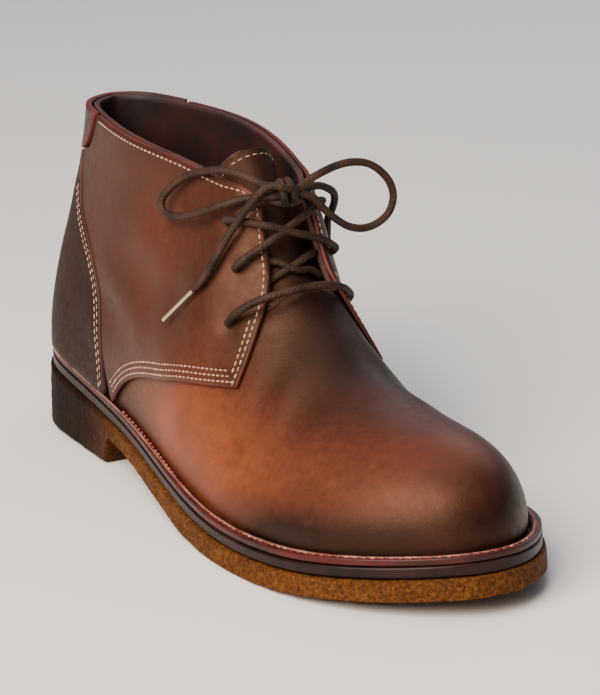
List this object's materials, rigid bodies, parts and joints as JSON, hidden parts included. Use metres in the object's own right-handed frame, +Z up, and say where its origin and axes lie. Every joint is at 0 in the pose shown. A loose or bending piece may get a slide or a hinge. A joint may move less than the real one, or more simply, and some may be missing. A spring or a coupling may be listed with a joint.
{
  "type": "chukka boot",
  "caption": "Right ankle-high lace-up boot with plain vamp, open-laced quarters, heel counter and thick crepe sole, laced and tied, standing empty.",
  "frame": {"origin": "middle of the sole's footprint, on the floor", "axes": "+Z up, +X from the heel towards the toe, +Y towards the inner (medial) side"},
  "size_m": [0.3048, 0.1062, 0.1341],
  "materials": {
    "crepe": "honey crepe rubber, pebbled edge, matt",
    "midsole": "dark plum rubber sheet, ground edge, satin",
    "welt": "red-brown welt leather, inked edge",
    "sock": "orange-red lining leather, soft",
    "leather": "waxy brown pull-up leather, soft broad sheen",
    "dark_leather": "dark brown waxy leather",
    "patch_leather": "dark red-brown leather",
    "lace": "waxed cotton, round braid",
    "tip": "pale brass, thin and smooth"
  },
  "bodies": {
    "root": {"outsole": "crepe", "midsole": "midsole", "welt": "welt", "insole": "sock", "upper": "leather", "tongue": "dark_leather", "quarter_outer": "leather", "quarter_inner": "leather", "heel_counter": "dark_leather", "heel_patch": "patch_leather", "lace_bar": "lace", "lace_cross": "lace", "lace_cross_under": "lace", "lace_knot": "lace", "lace_loop_outer": "lace", "lace_loop_inner": "lace", "lace_end_outer": "lace", "lace_end_inner": "lace", "lace_tip_outer": "tip", "lace_tip_inner": "tip"}
  },
  "joints": []
}
